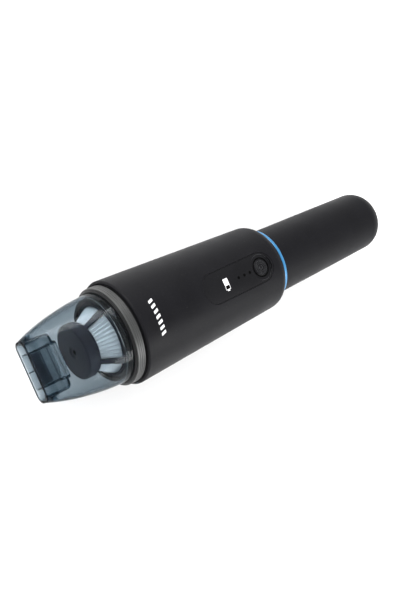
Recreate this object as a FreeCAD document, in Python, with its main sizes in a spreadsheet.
import FreeCAD, Part
import math
import os

import Sketcher

# Cordless handheld vacuum, millimetres. X runs along the body from the nozzle to the end of the
# handle, Z is up out of the control panel, and the origin is on the axis in the middle of the grip.
# Every part is drawn from a datum on the front edge of the main housing, then moved back by grip_x.

SIZES = {
    "grip_x": 190.0,
    "wall": 2.2,
    "gap": 0.3,
    # main housing
    "body_r": 37.0,
    "body_slope": 0.04,
    "shoulder_x": 126.0,
    "shoulder_round": 9.0,
    "housing_end": 133.9,
    "neck_r": 26.5,
    "bulkhead": 3.5,
    "cable_hole": 12.0,
    # handle
    "handle_start": 135.9,
    "handle_r": 25.02,
    "handle_slope": 0.021,
    "handle_end": 255.3,
    "handle_round": 16.4,
    "spigot_r": 24.0,
    "flange_end": 141.5,
    "handle_wall": 2.0,
    # collar and trim between housing and dust cup
    "trim_r": 34.55,
    "trim_front": -6.95,
    "trim_back": -0.95,
    "trim_groove": 0.25,
    "collar_r": 33.2,
    "collar_front": -12.0,
    "collar_step": -8.0,
    "collar_back": 10.0,
    "socket_r": 34.2,
    "spout_r": 29.9,
    "bore_r": 27.3,
    "stop_r": 24.5,
    "stop_x": 7.5,
    "seal_wire": 0.75,
    "seal_fit": 0.08,
    # dust cup
    "cup_back": -8.4,
    "cup_front": -65.0,
    "cup_wall": 1.9,
    "mouth_wide": 18.0,
    "mouth_high": 5.6,
    "mouth_end": -47.5,
    "mouth_skin": 1.3,
    # duct and flap
    "duct_front": -63.9,
    "duct_wide": 12.1,
    "duct_high": 5.5,
    "duct_end": -44.0,
    "duct_wall": 1.0,
    "flap_x": -62.6,
    "flap_z": 3.2,
    "flap_long": 11.8,
    "flap_thick": 1.3,
    "flap_wide": 21.2,
    "flap_barrel": 1.1,
    "flap_angle": 36.0,
    "pin_r": 0.6,
    "pin_fit": 0.05,
    # filter
    "cap_front": -33.3,
    "cap_back": -26.9,
    "cap_r": 19.0,
    "cage_front": -26.8,
    "cage_back": 7.2,
    "cage_neck": -10.8,
    "cage_small": 17.0,
    "cage_large": 25.5,
    "skirt_r": 27.0,
    "window_angle": 79.0,
    "pleats": 48.0,
    "pleat_deep": 1.3,
    # fan and motor
    "fan_front": 11.0,
    "fan_r": 33.3,
    "fan_eye": 13.0,
    "impeller_r": 28.0,
    "blades": 9.0,
    "mount_x": 27.0,
    "motor_x": 30.0,
    "motor_end": 70.0,
    "motor_r": 18.0,
    "shaft_r": 1.6,
    "bearing_r": 5.0,
    "cradle_x": 64.0,
    # control panel, measured from the crown of the housing at panel_x
    "panel_x": 66.0,
    "panel_long": 44.6,
    "panel_half": 10.6,
    "panel_skin": 0.12,
    "panel_under": 3.2,
    "panel_seat": 5.0,
    "panel_lip": 1.2,
    "spot_r": 9.4,
    "spot_depth": 1.45,
    "button_r": 6.0,
    "button_gap": 0.35,
    "board_depth": 10.5,
    "board_thick": 1.2,
    "lens_r": 0.9,
    # battery and charging
    "cell_r": 9.2,
    "cell_long": 65.0,
    "cell_x": 150.0,
    "cell_y": 9.6,
    "screw_r": 1.25,
    "screw_ring": 17.5,
}

doc = FreeCAD.newDocument("HandheldVacuum")
sheet = doc.addObject("Spreadsheet::Sheet", "Sizes")
for row, (alias, number) in enumerate(SIZES.items(), start=1):
    sheet.set(f"A{row}", alias)
    sheet.set(f"B{row}", str(number))
    sheet.setAlias(f"B{row}", alias)
doc.recompute()


class Dim:
    """A size that carries both its value and the sheet expression behind it."""

    def __init__(self, value, text):
        self.value = value
        self.text = text

    @staticmethod
    def of(other):
        return other if isinstance(other, Dim) else Dim(float(other), repr(float(other)))

    def _join(self, other, sign, value):
        return Dim(value, f"({self.text} {sign} {Dim.of(other).text})")

    def __add__(self, other):
        return self._join(other, "+", self.value + Dim.of(other).value)

    def __sub__(self, other):
        return self._join(other, "-", self.value - Dim.of(other).value)

    def __mul__(self, other):
        return self._join(other, "*", self.value * Dim.of(other).value)

    def __neg__(self):
        return Dim(-self.value, f"(0 - {self.text})")


class Sheet:
    """Reads the driving sizes as Dims: size.wall, size.body_r and so on."""

    def __getattr__(self, alias):
        return Dim(SIZES[alias], f"Sizes.{alias}")


size = Sheet()
X_TURN = FreeCAD.Rotation(FreeCAD.Vector(0, 1, 0), 90)
PANEL_TILT = math.atan(SIZES["body_slope"])
PANEL_TURN = FreeCAD.Rotation(FreeCAD.Vector(0, 1, 0), math.degrees(PANEL_TILT))
parts = {}


# ---------------------------------------------------------------- building blocks

def bind(thing, name, amount):
    """Set a property from a Dim and keep it tied to the sheet."""
    thing.setExpression(name, Dim.of(amount).text)


def put(thing, x=0, y=0, z=0, rotation=None):
    """Place an object, with its position tied to the sheet."""
    thing.Placement = FreeCAD.Placement(FreeCAD.Vector(0, 0, 0), rotation or FreeCAD.Rotation())
    for axis, amount in (("x", x), ("y", y), ("z", z)):
        bind(thing, f"Placement.Base.{axis}", amount)


def finish_part(name, thing, x=None, y=0, z=0, rotation=None):
    """Name a sub-part and move it from the housing datum to the row's frame."""
    thing.Label = name
    put(thing, -size.grip_x if x is None else x - size.grip_x, y, z, rotation)
    parts[name] = thing


def origin_item(body, role):
    return next(item for item in body.Origin.OriginFeatures if item.Role == role)


def new_sketch(body, name, role, offset=0):
    sketch = body.newObject("Sketcher::SketchObject", name)
    sketch.AttachmentSupport = (origin_item(body, role), [""])
    sketch.MapMode = "FlatFace"
    bind(sketch, "AttachmentOffset.Base.z", offset)
    return sketch


def pin_coordinate(sketch, index, vertex, horizontal, amount):
    """Fix one coordinate of a sketch vertex from the sketch origin."""
    if abs(amount.value) < 1e-9:
        sketch.addConstraint(Sketcher.Constraint("PointOnObject", index, vertex, -2 if horizontal else -1))
        return
    kind = "DistanceX" if horizontal else "DistanceY"
    number = sketch.addConstraint(Sketcher.Constraint(kind, -1, 1, index, vertex, amount.value))
    sketch.setExpression(f"Constraints[{number}]", amount.text)


def arc_middle(start, end, radius):
    """Middle of an arc; a positive radius bulges to the left of the way from start to end."""
    chord = end - start
    half = chord.Length / 2
    sagitta = abs(radius) - math.sqrt(max(radius * radius - half * half, 0))
    side = FreeCAD.Vector(-chord.y, chord.x, 0).normalize()
    return (start + end) * 0.5 + side * (sagitta if radius > 0 else -sagitta)


def outline(body, name, role, points, offset=0):
    """A closed, fully constrained sketch. Each point is (x, y) or (x, y, arc radius to the next)."""
    sketch = new_sketch(body, name, role, offset)
    corners = [[Dim.of(value) for value in point] for point in points]
    vectors = [FreeCAD.Vector(corner[0].value, corner[1].value, 0) for corner in corners]
    ends = []
    for index, corner in enumerate(corners):
        start, end = vectors[index], vectors[(index + 1) % len(vectors)]
        if len(corner) == 3:
            curve = Part.ArcOfCircle(start, arc_middle(start, end, corner[2].value), end)
            sketch.addGeometry(curve, False)
            first = (sketch.getPoint(index, 1) - start).Length < 1e-6
            ends.append((1, 2) if first else (2, 1))
            radius = Dim(abs(corner[2].value), corner[2].text if corner[2].value > 0 else f"(0 - {corner[2].text})")
            number = sketch.addConstraint(Sketcher.Constraint("Radius", index, radius.value))
            sketch.setExpression(f"Constraints[{number}]", radius.text)
        else:
            sketch.addGeometry(Part.LineSegment(start, end), False)
            ends.append((1, 2))
    for index, corner in enumerate(corners):
        follower = (index + 1) % len(corners)
        sketch.addConstraint(Sketcher.Constraint("Coincident", index, ends[index][1], follower, ends[follower][0]))
        pin_coordinate(sketch, index, ends[index][0], True, corner[0])
        pin_coordinate(sketch, index, ends[index][0], False, corner[1])
    return sketch


def circles(body, name, role, centres, radius, offset=0):
    """A sketch of equal circles at the given centres."""
    sketch = new_sketch(body, name, role, offset)
    for index, (across, up) in enumerate(centres):
        across, up = Dim.of(across), Dim.of(up)
        middle = FreeCAD.Vector(across.value, up.value, 0)
        sketch.addGeometry(Part.Circle(middle, FreeCAD.Vector(0, 0, 1), radius.value), False)
        pin_coordinate(sketch, index, 3, True, across)
        pin_coordinate(sketch, index, 3, False, up)
        number = sketch.addConstraint(Sketcher.Constraint("Radius", index, radius.value))
        sketch.setExpression(f"Constraints[{number}]", radius.text)
    return sketch


def new_body(name):
    return doc.addObject("PartDesign::Body", f"{name}_body")


def revolve(body, sketch, axis="H_Axis"):
    feature = body.newObject("PartDesign::Revolution", "Turn")
    feature.Profile = sketch
    feature.ReferenceAxis = (sketch, [axis])
    feature.Angle = 360
    doc.recompute()
    return feature


def turned(name, points, axis="H_Axis"):
    """A body turned about X (or about Z with V_Axis) from one outline."""
    body = new_body(name)
    revolve(body, outline(body, f"{name}_profile", "XZ_Plane", points), axis)
    return body


def pad(body, sketch, length, reverse=False, midplane=False):
    feature = body.newObject("PartDesign::Pad", "Pad")
    feature.Profile = sketch
    bind(feature, "Length", length)
    feature.Reversed = reverse
    feature.Midplane = midplane
    doc.recompute()
    return feature


def pocket_through(body, sketch):
    """Cut a sketch through the whole body, both ways."""
    before = body.Shape.Volume
    feature = body.newObject("PartDesign::Pocket", "Pocket")
    feature.Profile = sketch
    feature.Type = "ThroughAll"
    feature.Midplane = True
    doc.recompute()
    if body.Shape.Volume >= before:
        raise RuntimeError(f"{body.Label}: the pocket removed nothing")
    return feature


def around(body, feature, count):
    """Repeat a feature evenly about the body's X axis."""
    pattern = body.newObject("PartDesign::PolarPattern", "Around")
    pattern.Originals = [feature]
    pattern.Axis = (origin_item(body, "X_Axis"), [""])
    pattern.Angle = 360
    pattern.Occurrences = int(Dim.of(count).value)
    body.Tip = pattern
    doc.recompute()
    return pattern


def rod(name, x, length, radius, y=0, z=0):
    """A cylinder along X from the given end."""
    thing = doc.addObject("Part::Cylinder", name)
    bind(thing, "Radius", radius)
    bind(thing, "Height", length)
    put(thing, x, y, z, X_TURN)
    return thing


def block(name, low, high):
    """A box between two corners."""
    thing = doc.addObject("Part::Box", name)
    for side, first, last in zip(("Length", "Width", "Height"), low, high):
        bind(thing, side, Dim.of(last) - first)
    put(thing, *low)
    return thing


def fuse(name, shapes):
    thing = doc.addObject("Part::MultiFuse", name)
    thing.Shapes = shapes
    return thing


def cut(name, base, tools):
    thing = doc.addObject("Part::Cut", name)
    thing.Base = base
    thing.Tool = tools[0] if len(tools) == 1 else fuse(f"{name}_tools", tools)
    return thing


def group(name, shapes):
    """Separate identical pieces that share one node."""
    thing = doc.addObject("Part::Compound", name)
    thing.Links = shapes
    return thing


def on_ring(radius, count, first=0.0):
    """Sheet-driven (y, z) centres of holes on a ring about the axis."""
    angles = [math.radians(first + 360 * index / count) for index in range(count)]
    return [(radius * round(math.cos(angle), 9), radius * round(math.sin(angle), 9)) for angle in angles]


def stadium(body, name, half, long, depth):
    """A slot shape along X in a plane at the given height."""
    points = [
        (0, -half),
        (long, -half, -half),
        (long + half, 0, -half),
        (long, half),
        (0, half, -half),
        (-half, 0, -half),
    ]
    return outline(body, name, "XY_Plane", points, -depth)


def panel_place(along=0, down=0):
    """A spot on the sloping panel, from its front arc centre along it and down from the crown line."""
    cosine, sine = math.cos(PANEL_TILT), math.sin(PANEL_TILT)
    along, down = Dim.of(along), Dim.of(down)
    x = size.panel_x + along * cosine - down * sine
    z = size.body_r - size.body_slope * size.panel_x - along * sine - down * cosine
    return x, 0, z


# ---------------------------------------------------------------- housing, handle and trim

def build_housing():
    crown = size.body_r - size.body_slope * size.shoulder_x
    inner_end = size.housing_end - size.bulkhead
    shell = turned("housing", [
        (0, size.body_r - size.wall),
        (0, size.body_r - 1.2, 1.5),
        (1.3, size.body_r),
        (size.shoulder_x, crown, size.shoulder_round),
        (size.housing_end, size.neck_r),
        (size.housing_end, size.cable_hole),
        (inner_end, size.cable_hole),
        (inner_end, size.neck_r + 1.4, size.wall - size.shoulder_round),
        (size.shoulder_x - 0.1, crown - size.wall),
    ])
    window = new_body("window")
    pad(window, stadium(window, "window_shape", size.panel_half + size.gap, size.panel_long, 6), Dim.of(12))
    put(window, *panel_place(), PANEL_TURN)
    vents = []
    for start in (78.0, 98.0):
        for step in range(-3, 4):
            slot = doc.addObject("Part::Box", "vent_slot")
            slot.Length, slot.Width, slot.Height = 15.0, 2.4, 10.0
            turn = FreeCAD.Rotation(FreeCAD.Vector(1, 0, 0), 180 + 13 * step)
            corner = turn.multVec(FreeCAD.Vector(0, -1.2, 27.0))
            slot.Placement = FreeCAD.Placement(FreeCAD.Vector(start, corner.y, corner.z), turn)
            vents.append(slot)
    holes = [rod("housing_hole", inner_end - 1, size.bulkhead + 2, size.screw_r + 0.1, y, z)
             for y, z in on_ring(size.screw_ring, 4, 45)]
    finish_part("main_housing", cut("main_housing", shell, [window] + vents + holes))


def build_handle():
    round_start = size.handle_end - size.handle_round
    end_r = size.handle_r - size.handle_slope * (round_start - size.handle_start)
    inner_round = size.handle_round - size.handle_wall
    shell = turned("handle", [
        (size.housing_end, size.cable_hole),
        (size.housing_end, size.spigot_r),
        (size.handle_start, size.spigot_r),
        (size.handle_start, size.handle_r),
        (round_start, end_r, size.handle_round),
        (size.handle_end, end_r - size.handle_round),
        (size.handle_end, 0),
        (size.handle_end - size.handle_wall, 0),
        (size.handle_end - size.handle_wall, end_r - size.handle_round, -inner_round),
        (round_start, end_r - size.handle_wall),
        (size.flange_end, size.handle_r - size.handle_wall - 0.1),
        (size.flange_end, size.cable_hole),
    ])
    holes = [rod("handle_hole", size.housing_end - 1, 8.5, size.screw_r, y, z)
             for y, z in on_ring(size.screw_ring, 4, 45)]
    inlet = block("inlet_hole", (size.handle_end - 4, -4.8, -2.3), (size.handle_end + 2, 4.8, 1.6))
    finish_part("handle_shell", cut("handle_shell", shell, holes + [inlet]))
    ring = turned("accent", [
        (size.housing_end, size.spigot_r + 0.05),
        (size.housing_end, size.neck_r - 0.3),
        (size.housing_end + 0.3, size.neck_r),
        (size.handle_start - 0.3, size.neck_r),
        (size.handle_start, size.neck_r - 0.3),
        (size.handle_start, size.spigot_r + 0.05),
    ])
    finish_part("accent_ring", ring)
    screws = []
    for y, z in on_ring(size.screw_ring, 4, 45):
        head = rod("screw_head", size.housing_end - size.bulkhead - 1.8, 1.8, Dim.of(2.4), y, z)
        shank = rod("screw_shank", size.housing_end - size.bulkhead, 9.5, size.screw_r, y, z)
        screws.append(fuse("handle_screw", [head, shank]))
    finish_part("handle_screws", group("handle_screws", screws))


def seal_ring(name, x, outer):
    """An O-ring about the axis whose outer radius is given."""
    ring = doc.addObject("Part::Torus", name)
    bind(ring, "Radius1", outer - size.seal_wire)
    bind(ring, "Radius2", size.seal_wire)
    finish_part(name, ring, x, rotation=X_TURN)


def build_collar():
    cup_bore = size.spout_r + size.gap
    seal_r = cup_bore - size.seal_fit
    groove_floor = seal_r - size.seal_wire * 2 - 0.05
    collar = turned("collar", [
        (size.collar_front, size.bore_r),
        (size.collar_front, size.spout_r),
        (size.collar_front + 1.0, size.spout_r),
        (size.collar_front + 1.0, groove_floor),
        (size.collar_front + 2.7, groove_floor),
        (size.collar_front + 2.7, size.spout_r),
        (size.collar_step, size.spout_r),
        (size.collar_step, size.collar_r - 0.8),
        (size.collar_step + 0.8, size.collar_r),
        (0.3, size.collar_r),
        (0.3, size.socket_r),
        (size.collar_back, size.socket_r),
        (size.collar_back, size.collar_r - 1.6),
        (size.collar_step + 2.5, size.collar_r - 1.6),
        (size.collar_step + 2.5, size.bore_r + 2.0),
        (size.collar_back, size.bore_r + 2.0),
        (size.collar_back, size.stop_r),
        (size.stop_x, size.stop_r),
        (size.stop_x, size.bore_r),
    ])
    finish_part("mount_collar", collar)
    seal_ring("cup_seal", size.collar_front + 1.85, seal_r)
    low, high = size.trim_r - size.trim_groove, size.trim_r
    points = [(size.trim_front, size.collar_r + 0.05), (size.trim_front, high - 0.3), (size.trim_front + 0.3, high)]
    for start in (1.4, 2.85, 4.3):
        at = size.trim_front + start
        points += [(at, high), (at, low), (at + 0.45, low), (at + 0.45, high)]
    points += [(size.trim_back - 0.3, high), (size.trim_back, high - 0.3), (size.trim_back, size.collar_r + 0.05)]
    finish_part("front_trim_ring", turned("trim", points))


# ---------------------------------------------------------------- dust cup, duct and flap

def rounded_wire(x, wide, high, corner):
    """A rounded rectangle about the axis in the plane at x."""
    corner = min(corner, wide - 0.02, high - 0.02)
    wide_flat, high_flat = wide - corner, high - corner
    diagonal = corner * math.sqrt(0.5)
    vector = FreeCAD.Vector
    edges = []
    for turn_y, turn_z in ((1, 1), (-1, 1), (-1, -1), (1, -1)):
        side = vector(x, turn_y * wide, turn_z * high_flat)
        top = vector(x, turn_y * wide_flat, turn_z * high)
        middle = vector(x, turn_y * (wide_flat + diagonal), turn_z * (high_flat + diagonal))
        start, end = (side, top) if turn_y == turn_z else (top, side)
        edges.append(Part.Arc(start, middle, end).toShape())
    straights = [
        Part.LineSegment(edges[index].Vertexes[1].Point, edges[(index + 1) % 4].Vertexes[0].Point).toShape()
        for index in range(4)
    ]
    ordered = [edge for pair in zip(edges, straights) for edge in pair]
    return Part.Wire(ordered)


def rounded_block(x_low, x_high, wide, high, corner):
    face = Part.Face(rounded_wire(x_low, wide, high, corner))
    return face.extrude(FreeCAD.Vector(x_high - x_low, 0, 0))


def shaped(name, shape, **place):
    """A sub-part whose shape comes from Part functions on the sheet's sizes."""
    thing = doc.addObject("Part::Feature", name)
    thing.Shape = shape
    finish_part(name, thing, **place)


# Dust cup sections from rim to mouth: share of the length, half width, half height, corner radius.
CUP_SECTIONS = (
    (0.00, 20.8, 6.9, 5.8),
    (0.16, 24.0, 11.6, 9.6),
    (0.34, 26.9, 16.8, 15.2),
    (0.55, 29.3, 23.2, 21.8),
    (0.76, 31.0, 28.6, 27.8),
    (1.00, 31.9, 31.9, 31.5),
)


def cup_loft(inset, front, back):
    """The dust cup's skin as a solid, shrunk by inset and run on past its ends."""
    length = SIZES["cup_back"] - SIZES["cup_front"]
    wires = []
    for share, wide, high, corner in CUP_SECTIONS:
        x = SIZES["cup_front"] + share * length
        if share == 0.0:
            x -= front
        if share == 1.0:
            x += back
        wires.append(rounded_wire(x, wide - inset, high - inset, max(corner - inset, 1.5)))
    return Part.makeLoft(wires, True, False)


def build_cup():
    front, mouth_end = SIZES["cup_front"], SIZES["mouth_end"]
    wide, high, skin = SIZES["mouth_wide"], SIZES["mouth_high"], SIZES["mouth_skin"]
    outer = cup_loft(0.0, 0.0, 0.0)
    hollow = cup_loft(SIZES["cup_wall"], -2.0, 0.0)
    tail = Part.makeCylinder(SIZES["spout_r"] + SIZES["gap"], 6.0,
                             FreeCAD.Vector(SIZES["cup_back"] - 4.4, 0, 0), FreeCAD.Vector(1, 0, 0))
    skin_only = outer.cut(hollow).cut(tail)
    sleeve = rounded_block(front, mouth_end + skin, wide + skin, high + skin, 5.2).common(outer)
    pocket = rounded_block(front - 1, mouth_end, wide, high, 4.0)
    passage = rounded_block(front - 1, mouth_end + 5, SIZES["duct_wide"] + 0.05, SIZES["duct_high"] + 0.05, 1.55)
    shaped("dust_cup", skin_only.fuse(sleeve).cut(pocket).cut(passage).removeSplitter())


def build_duct():
    front, end, skin = SIZES["duct_front"], SIZES["duct_end"], SIZES["duct_wall"]
    wide, high = SIZES["duct_wide"], SIZES["duct_high"]
    tube = rounded_block(front, end, wide, high, 1.5)
    rim = rounded_block(SIZES["mouth_end"] + SIZES["mouth_skin"] + 0.1, end, wide + 0.8, high + 0.8, 2.2)
    bore = rounded_block(front - 1, end + 1, wide - skin, high - skin, 0.8)
    pin_hole = Part.makeCylinder(SIZES["pin_r"], 2 * wide - 0.2,
                                 FreeCAD.Vector(SIZES["flap_x"], 0.1 - wide, SIZES["flap_z"]),
                                 FreeCAD.Vector(0, 1, 0))
    shaped("intake_duct", tube.fuse(rim).cut(bore).cut(pin_hole).removeSplitter())
    pin = doc.addObject("Part::Cylinder", "flap_pin")
    bind(pin, "Radius", size.pin_r)
    bind(pin, "Height", size.duct_wide * 2 - 0.2)
    finish_part("flap_pin", pin, size.flap_x, size.duct_wide - 0.1, size.flap_z,
                FreeCAD.Rotation(FreeCAD.Vector(1, 0, 0), 90))


def build_flap():
    body = new_body("flap")
    half = size.flap_thick * 0.5
    pad(body, circles(body, "barrel", "XZ_Plane", [(0, 0)], size.flap_barrel), size.flap_wide, midplane=True)
    blade = outline(body, "blade", "XZ_Plane", [
        (0.2, -half), (size.flap_long, -half), (size.flap_long, half), (0.2, half),
    ])
    pad(body, blade, size.flap_wide, midplane=True)
    pocket_through(body, circles(body, "bore", "XZ_Plane", [(0, 0)], size.pin_r + size.pin_fit))
    finish_part("intake_flap", body, size.flap_x, 0, size.flap_z,
                FreeCAD.Rotation(FreeCAD.Vector(0, 1, 0), SIZES["flap_angle"]))


# ---------------------------------------------------------------- filter

def build_filter():
    plug_r = size.cage_small - 4.2
    cap = turned("cap", [
        (size.cap_front + 1.1, 0),
        (size.cap_front + 1.1, 3.2),
        (size.cap_front, 4.3),
        (size.cap_front, size.cap_r - 1.4, 1.4),
        (size.cap_front + 1.4, size.cap_r),
        (size.cap_back, size.cap_r),
        (size.cap_back, plug_r),
        (size.cap_back + 2.7, plug_r),
        (size.cap_back + 2.7, 0),
    ])
    finish_part("filter_cap", cap)

    seal_r = size.bore_r - size.seal_fit
    floor = seal_r - size.seal_wire * 2 - 0.02
    inside = size.skirt_r - 2.4
    body = new_body("cage")
    revolve(body, outline(body, "cage_profile", "XZ_Plane", [
        (size.cage_front, plug_r + 0.2),
        (size.cage_front, size.cage_small),
        (size.cage_front + 2, size.cage_small),
        (size.cage_neck, size.cage_large),
        (size.cage_neck, size.skirt_r),
        (1.0, size.skirt_r),
        (1.0, floor),
        (2.7, floor),
        (2.7, size.skirt_r),
        (size.cage_back, size.skirt_r),
        (size.cage_back, inside),
        (size.cage_neck + 0.8, inside),
        (size.cage_front + 2, size.cage_small - 1.3),
        (size.cage_front + 2, plug_r + 0.2),
    ]))
    opening = outline(body, "opening", "XZ_Plane", [
        (size.cage_front + 3, 12), (size.cage_front + 3, 30), (size.cage_neck - 0.9, 30), (size.cage_neck - 0.9, 12),
    ])
    before = body.Shape.Volume
    groove = body.newObject("PartDesign::Groove", "Window")
    groove.Profile = opening
    groove.ReferenceAxis = (opening, ["H_Axis"])
    bind(groove, "Angle", size.window_angle)
    groove.Midplane = True
    doc.recompute()
    around(body, groove, 4)
    if body.Shape.Volume >= before:
        raise RuntimeError("the cage windows removed nothing")
    finish_part("filter_cage", body)
    seal_ring("filter_seal", Dim.of(1.85), seal_r)

    count = int(SIZES["pleats"])
    slope = (SIZES["cage_large"] - SIZES["cage_small"]) / (SIZES["cage_neck"] - SIZES["cage_front"] - 2)
    ends = (SIZES["cage_front"] + 2.9, SIZES["cage_neck"] + 0.5)
    wires, bores = [], []
    for x in ends:
        tip = SIZES["cage_small"] - 1.75 + slope * (x - SIZES["cage_front"] - 2)
        corners = []
        for step in range(2 * count):
            angle = math.pi * step / count
            radius = tip - (SIZES["pleat_deep"] if step % 2 else 0.0)
            corners.append(FreeCAD.Vector(x, radius * math.cos(angle), radius * math.sin(angle)))
        wires.append(Part.makePolygon(corners + corners[:1]))
        bores.append(tip - SIZES["pleat_deep"] - 1.2)
    star = Part.makeLoft(wires, True, True)
    core = Part.makeCone(bores[0], bores[1], ends[1] - ends[0], FreeCAD.Vector(ends[0], 0, 0), FreeCAD.Vector(1, 0, 0))
    shaped("filter_medium", star.cut(core))


# ---------------------------------------------------------------- fan and motor

def build_fan():
    back = size.motor_x - 0.1
    shroud = turned("shroud", [
        (size.fan_front, size.fan_eye),
        (size.fan_front, size.fan_r),
        (back, size.fan_r),
        (back, size.fan_r - 1.5),
        (size.fan_front + 1.5, size.fan_r - 1.5),
        (size.fan_front + 1.5, size.fan_eye),
    ])
    finish_part("fan_shroud", shroud)

    impeller = new_body("impeller")
    hub_r, plate = Dim.of(4.5), size.mount_x - 1.5
    revolve(impeller, outline(impeller, "hub_profile", "XZ_Plane", [
        (size.fan_front + 3, size.shaft_r),
        (size.fan_front + 3, hub_r - 1),
        (plate - 3, hub_r + 1),
        (plate - 1.4, hub_r + 4),
        (plate - 1.4, size.impeller_r),
        (plate, size.impeller_r),
        (plate, size.shaft_r),
    ]))
    blade = outline(impeller, "blade", "YZ_Plane", [
        (10.0, 0.0, -24.0), (26.5, 9.6), (25.9, 10.5, 25.0), (9.8, 1.0),
    ], size.fan_front + 4)
    around(impeller, pad(impeller, blade, plate - size.fan_front - 4.5), size.blades)
    finish_part("impeller", impeller)

    shaft = rod("motor_shaft", 0, size.motor_end - size.fan_front + 3, size.shaft_r)
    finish_part("motor_shaft", shaft, size.fan_front + 1.5, rotation=X_TURN)


def build_motor():
    plate = new_body("plate")
    revolve(plate, outline(plate, "plate_profile", "XZ_Plane", [
        (size.mount_x, size.bearing_r),
        (size.mount_x, size.fan_r - 1.6),
        (size.motor_x, size.fan_r - 1.6),
        (size.motor_x, size.bearing_r),
    ]))
    vent = circles(plate, "air_hole", "YZ_Plane", [(0, 25)], Dim.of(4.0))
    around(plate, pocket_through(plate, vent), 12)
    screw_places = on_ring(Dim.of(12.0), 3, 90)
    clear = [rod("plate_hole", size.mount_x - 1, 6, size.screw_r + 0.1, y, z) for y, z in screw_places]
    finish_part("motor_mount", cut("motor_mount", plate, clear))

    can = turned("can", [
        (size.motor_x, size.shaft_r + 0.4),
        (size.motor_x, size.motor_r - 0.8),
        (size.motor_x + 0.8, size.motor_r),
        (size.motor_end - 0.8, size.motor_r),
        (size.motor_end, size.motor_r - 0.8),
        (size.motor_end, size.bearing_r + 2),
        (size.motor_end + 3.6, size.bearing_r + 2),
        (size.motor_end + 3.6, size.bearing_r),
        (size.motor_end + 0.2, size.bearing_r),
        (size.motor_end + 0.2, size.shaft_r + 0.4),
    ])
    taps = [rod("can_hole", size.motor_x - 1, 6, size.screw_r, y, z) for y, z in screw_places]
    finish_part("motor_can", cut("motor_can", can, taps))

    screws = []
    for y, z in screw_places:
        head = rod("motor_screw_head", size.mount_x - 0.9, 0.9, Dim.of(2.1), y, z)
        shank = rod("motor_screw_shank", size.mount_x, 7.5, size.screw_r, y, z)
        screws.append(fuse("motor_screw", [head, shank]))
    finish_part("motor_screws", group("motor_screws", screws))

    for name, x in (("front_bearing", size.mount_x - 0.2), ("rear_bearing", size.motor_end + 0.3)):
        bearing = turned(name, [
            (0, size.shaft_r + size.pin_fit),
            (0, size.bearing_r),
            (3.1, size.bearing_r),
            (3.1, size.shaft_r + size.pin_fit),
        ])
        finish_part(name, bearing, x)

    cradle = new_body("cradle")
    revolve(cradle, outline(cradle, "cradle_profile", "XZ_Plane", [
        (size.cradle_x, size.motor_r + 0.05),
        (size.cradle_x, size.motor_r + 3),
        (size.cradle_x + 3, size.motor_r + 3),
        (size.cradle_x + 3, size.motor_r + 0.05),
    ]))
    reach = size.body_r - size.body_slope * (size.cradle_x + 3) - size.wall - 0.25
    leg = outline(cradle, "leg", "YZ_Plane", [
        (-2.5, -reach), (2.5, -reach), (2.5, -size.motor_r - 1), (-2.5, -size.motor_r - 1),
    ], size.cradle_x)
    around(cradle, pad(cradle, leg, Dim.of(3)), 3)
    finish_part("motor_cradle", cradle)


# ---------------------------------------------------------------- control panel

def on_panel(name, thing, along=0, down=0):
    """Finish a sub-part on the sloping panel, from its front arc centre and the crown line."""
    x, y, z = panel_place(along, down)
    finish_part(name, thing, x, y, z, PANEL_TURN)


LENS_PLACES = (21.5, 27.0, 32.4)


def panel_plate():
    """The plate that fills the housing's window, curved like the barrel, with its seat and posts."""
    raised = new_body("raised")
    pad(raised, stadium(raised, "plate", size.panel_half, size.panel_long, size.panel_seat), Dim.of(8))
    put(raised, *panel_place(), PANEL_TURN)
    skin_r = size.body_r - size.panel_skin
    skin = turned("skin", [
        (0, 0),
        (0, skin_r),
        (size.shoulder_x, skin_r - size.body_slope * size.shoulder_x),
        (size.shoulder_x, 0),
    ])
    curved = doc.addObject("Part::Common", "curved_plate")
    curved.Base, curved.Tool = raised, skin

    seat = new_body("seat")
    pad(seat, stadium(seat, "seat_shape", size.panel_half + 1.4, size.panel_long, size.panel_seat), size.panel_lip, True)
    put(seat, *panel_place(), PANEL_TURN)
    hollow = new_body("hollow")
    depth = size.panel_seat + size.panel_lip + 1
    pad(hollow, stadium(hollow, "hollow_shape", size.panel_half - 1.6, Dim.of(26), depth), depth - size.panel_under)
    put(hollow, *panel_place(), PANEL_TURN)
    posts = new_body("posts")
    places = [(7, 6), (7, -6), (31.5, 6), (31.5, -6)]
    pad(posts, circles(posts, "posts_shape", "XY_Plane", places, Dim.of(1.6), -size.board_depth),
        size.board_depth - size.panel_under + 0.2)
    put(posts, *panel_place(), PANEL_TURN)
    return fuse("plate_and_posts", [cut("plate", fuse("plate_and_seat", [curved, seat]), [hollow]), posts])


def panel_drill(name, along, radius, down):
    """A round cutter straight into the panel, from the given depth up past the surface, or right through."""
    drill = doc.addObject("Part::Cylinder", name)
    bind(drill, "Radius", radius)
    bind(drill, "Height", Dim.of(down) + 2)
    put(drill, *panel_place(along, down), PANEL_TURN)
    return drill


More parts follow.
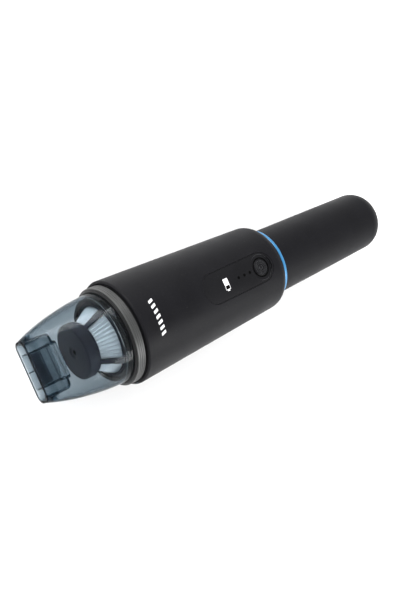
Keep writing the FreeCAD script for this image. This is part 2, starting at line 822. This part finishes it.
def build_panel():
    spot = panel_drill("spot", size.panel_long, size.spot_r, size.spot_depth)
    button_hole = panel_drill("button_hole", size.panel_long, size.button_r + size.button_gap, 9.0)
    lens_holes = [panel_drill("lens_hole", along, size.lens_r, 9.0) for along in LENS_PLACES]
    finish_part("control_panel", cut("control_panel", panel_plate(), [spot, button_hole] + lens_holes))

    lenses = []
    for x in LENS_PLACES:
        lens = doc.addObject("Part::Cylinder", "lens")
        bind(lens, "Radius", size.lens_r)
        bind(lens, "Height", size.panel_under)
        put(lens, x, 0, -size.panel_under - size.panel_skin - 0.05)
        lenses.append(lens)
    on_panel("indicator_lenses", group("indicator_lenses", lenses))

    flange = size.panel_seat + size.panel_lip + size.gap + 0.3 - size.spot_depth
    button = turned("button", [
        (0, -0.3),
        (4.3, -0.15),
        (5.4, 0),
        (size.button_r, -0.4),
        (size.button_r, -flange),
        (size.button_r + 1.4, -flange),
        (size.button_r + 1.4, -flange - 0.8),
        (0, -flange - 0.8),
    ], "V_Axis")
    on_panel("power_button", button, size.panel_long, size.spot_depth - 0.3)

    board = block("control_board", (0, -8.5, 0), (46, 8.5, size.board_thick))
    on_panel("control_board", board, 4, size.board_depth + size.board_thick)
    # The board's box is drawn from a corner, so it is moved sideways by half its width.
    bind(board, "Placement.Base.y", Dim.of(-8.5))
    base = block("switch_base", (-3, -3, 0), (3, 3, 2.0))
    plunger = doc.addObject("Part::Cylinder", "switch_plunger")
    plunger.Radius, plunger.Height = 1.6, 2.15
    on_panel("tact_switch", fuse("tact_switch", [base, plunger]), size.panel_long, size.board_depth)


# ---------------------------------------------------------------- battery and charging

def build_battery():
    cells = []
    for side in (1, -1):
        can = rod("cell_can", size.cell_x, size.cell_long - 1.2, size.cell_r, size.cell_y * side)
        tip = rod("cell_tip", size.cell_x + size.cell_long - 1.2, 1.2, Dim.of(2.8), size.cell_y * side)
        cells.append(fuse("cell", [can, tip]))
    finish_part("battery_cells", group("battery_cells", cells))

    front, back = size.cell_x - 2.4, size.cell_x + size.cell_long + 0.3
    holder = [rod("holder_front", front, 2.3, Dim.of(20.8)), rod("holder_back", back, 2.3, Dim.of(20.8))]
    for low, high in ((8.5, 11.5), (-11.5, -8.5)):
        holder.append(block("holder_rail", (front, -4, low), (back + 2.3, 4, high)))
    finish_part("battery_holder", fuse("battery_holder", holder))

    board = block("charge_board", (0, 0, 0), (21, 16, 1.2))
    finish_part("charge_board", board, size.handle_end - 26.8, -8, -3.3)
    outside = block("inlet_outside", (0, -4.5, -2.0), (9, 4.5, 1.3))
    inside = block("inlet_inside", (0.8, -4.2, -1.7), (10, 4.2, 1.0))
    tongue = block("inlet_tongue", (0.4, -3.2, -0.65), (7.5, 3.2, -0.05))
    inlet = fuse("charge_inlet", [cut("inlet_shell", outside, [inside]), tongue])
    finish_part("charge_inlet", inlet, size.handle_end - 9.4)


build_housing()
build_handle()
build_collar()
build_cup()
build_duct()
build_flap()
build_filter()
build_fan()
build_motor()
build_panel()
build_battery()
doc.recompute()

faults = [thing.Label for thing in doc.Objects if {"Invalid", "Error"} & set(thing.State)]
for name, thing in parts.items():
    if thing.Shape.isNull() or not thing.Shape.isValid() or not thing.Shape.Solids:
        faults.append(name)
if faults:
    raise RuntimeError(f"faulty objects: {faults}")

os.makedirs("parts", exist_ok=True)
for name, thing in parts.items():
    thing.Shape.exportStep(f"parts/{name}.step")
    box = thing.Shape.BoundBox
    print(f"{name:18s} solids {len(thing.Shape.Solids)} volume {thing.Shape.Volume:10.1f}  "
          f"x {box.XMin:8.2f} {box.XMax:8.2f}  y {box.YMin:7.2f} {box.YMax:7.2f}  z {box.ZMin:7.2f} {box.ZMax:7.2f}")
